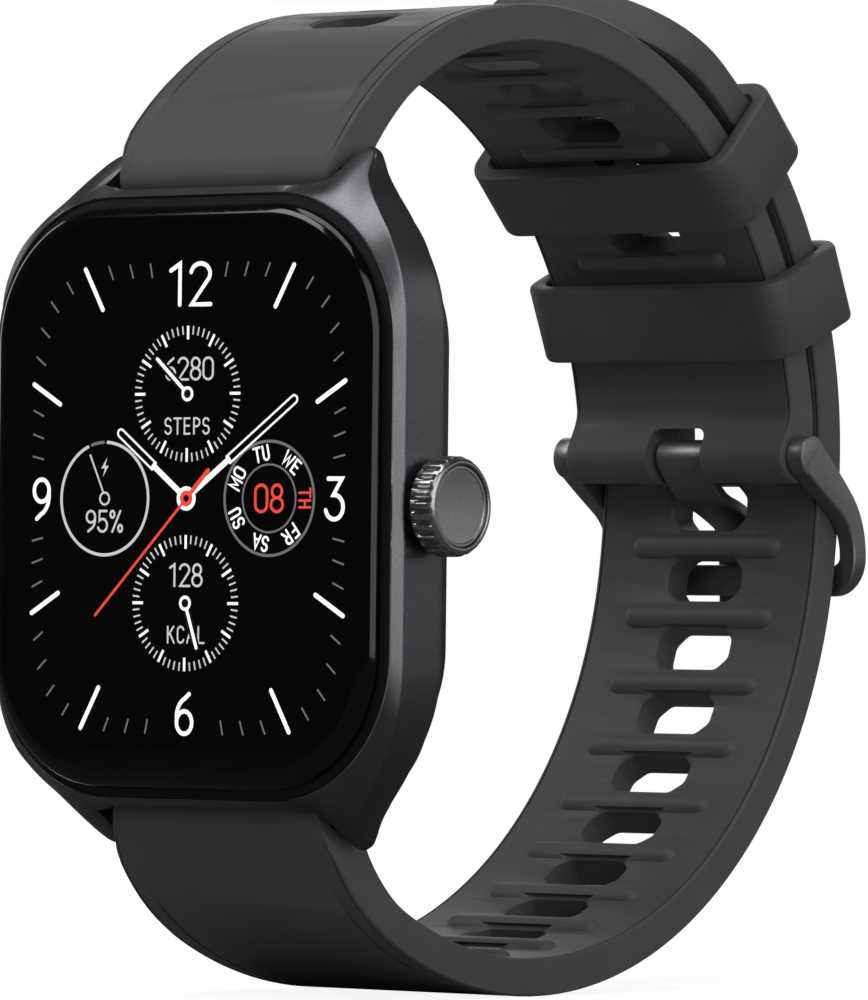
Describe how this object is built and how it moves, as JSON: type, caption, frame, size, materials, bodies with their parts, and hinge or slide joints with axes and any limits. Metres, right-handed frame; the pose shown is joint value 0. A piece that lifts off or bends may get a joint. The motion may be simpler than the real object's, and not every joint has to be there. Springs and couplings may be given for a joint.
{
  "type": "smartwatch",
  "caption": "Rounded-rectangle smartwatch with raised glass, fluted side crown and a closed ribbed silicone band with tang buckle and keepers.",
  "frame": {"origin": "centre of the back's sensor window, on its outer face", "axes": "+X to 3 o'clock and the crown, +Y out of the back to the wrist, +Z to 12 o'clock"},
  "size_m": [0.0395, 0.0659, 0.0724],
  "materials": {
    "case_metal": "satin",
    "cover_glass": "polished",
    "display": "gloss",
    "seal": "matte",
    "flex": "satin",
    "chassis": "matte",
    "battery": "satin",
    "board": "satin",
    "shield": "satin",
    "back_plastic": "satin",
    "sensor_window": "polished",
    "gold_contact": "satin",
    "steel": "satin",
    "crown_metal": "satin",
    "silicone": "matte",
    "keeper_silicone": "matte",
    "buckle_metal": "satin"
  },
  "bodies": {
    "case": {"case_frame": "case_metal", "cover_glass": "cover_glass", "glass_gasket": "seal", "display_panel": "display", "display_flex": "flex", "inner_chassis": "chassis", "battery": "battery", "main_board": "board", "shield_can": "shield", "vibration_motor": "steel", "speaker": "chassis", "antenna": "flex", "back_cover": "back_plastic", "back_seal": "seal", "sensor_window": "sensor_window", "sensor_board": "board", "charging_contacts": "gold_contact", "back_screws": "steel", "crown_tube": "steel", "crown_switch": "chassis"},
    "crown_push": {"crown_pusher": "steel"},
    "crown": {"crown_stem": "steel", "crown_seal": "seal", "crown_retainer": "steel", "crown_knob": "crown_metal", "crown_cap": "crown_metal"},
    "band": {"upper_strap": "silicone", "lower_strap": "silicone", "fixed_keeper": "keeper_silicone", "buckle_bar": "buckle_metal", "upper_bar_tube": "steel", "upper_bar_spring": "steel", "lower_bar_tube": "steel", "lower_bar_spring": "steel"},
    "sliding_keeper": {"free_keeper": "keeper_silicone"},
    "buckle": {"buckle_frame": "buckle_metal"},
    "tongue": {"buckle_tongue": "buckle_metal"},
    "upper_release": {"upper_bar_plunger": "steel"},
    "lower_release": {"lower_bar_plunger": "steel"}
  },
  "joints": [
    {"name": "crown_press", "type": "slide", "parent": "case", "child": "crown_push", "axis": [-1, 0, 0], "range_m": [0, 0.0003], "stiffness_N_per_m": 1500},
    {"name": "crown_turn", "type": "hinge", "parent": "crown_push", "child": "crown", "pos_m": [0.019, -0.005, -0.0006], "axis": [1, 0, 0], "continuous": true},
    {"name": "band_swing", "type": "hinge", "parent": "case", "child": "band", "pos_m": [0, -0.0039, 0.022], "axis": [1, 0, 0], "range_deg": [0, 50]},
    {"name": "keeper_slide", "type": "hinge", "parent": "band", "child": "sliding_keeper", "pos_m": [0, 0.01798, 0.00256], "axis": [1, 0, 0], "range_deg": [-4, 4]},
    {"name": "buckle_lift", "type": "hinge", "parent": "band", "child": "buckle", "pos_m": [0, 0.04835, 0.00405], "axis": [1, 0, 0], "range_deg": [0, 2]},
    {"name": "tongue_lift", "type": "hinge", "parent": "band", "child": "tongue", "pos_m": [0, 0.04835, 0.00405], "axis": [1, 0, 0], "range_deg": [0, 2]},
    {"name": "upper_release", "type": "slide", "parent": "band", "child": "upper_release", "axis": [-1, 0, 0], "range_m": [0, 0.0012], "stiffness_N_per_m": 600, "springref_m": -0.0005, "deforming": ["upper_bar_spring"]},
    {"name": "lower_release", "type": "slide", "parent": "band", "child": "lower_release", "axis": [-1, 0, 0], "range_m": [0, 0.0012], "stiffness_N_per_m": 600, "springref_m": -0.0005, "deforming": ["lower_bar_spring"]}
  ],
  "couplings": [
    {"joint": "tongue_lift", "follows": "buckle_lift", "ratio": 1}
  ]
}
